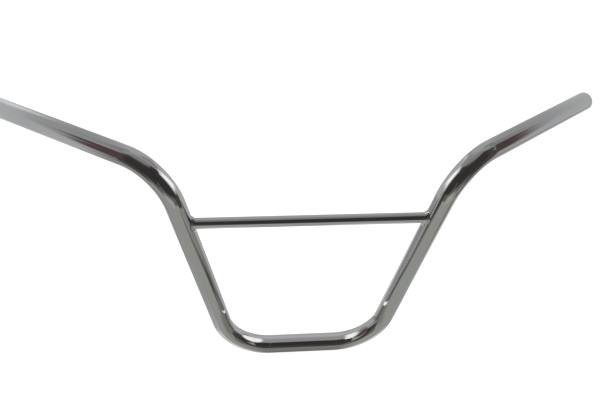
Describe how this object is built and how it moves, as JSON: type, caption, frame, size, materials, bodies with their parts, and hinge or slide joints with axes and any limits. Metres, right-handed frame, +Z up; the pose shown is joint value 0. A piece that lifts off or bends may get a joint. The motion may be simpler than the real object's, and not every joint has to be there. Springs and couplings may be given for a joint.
{
  "type": "handlebar",
  "caption": "Chromed steel bicycle or motorcycle handlebar: one bent tube with upright risers, swept-back grips, a knurled clamp section and a thin welded crossbar.",
  "frame": {"origin": "centre of the knurled clamp section, on the tube's axis", "axes": "+Z up and +X along the clamp section with the bar as it sits on a bike; -Y is the front, and the grips sweep back towards +Y. The risers lie in the XZ plane and the bar is symmetric about YZ."},
  "size_m": [0.7106, 0.1614, 0.303],
  "materials": {
    "main_tube_chrome": "bright chrome plate on a polished steel tube, knurled clamp section",
    "crossbar_chrome": "bright chrome plate on a thin steel tube",
    "weld_chrome": "chrome plate over a hand-welded bead"
  },
  "bodies": {
    "root": {"main_tube": "main_tube_chrome", "crossbar": "crossbar_chrome", "left_weld_bead": "weld_chrome", "right_weld_bead": "weld_chrome"}
  },
  "joints": []
}
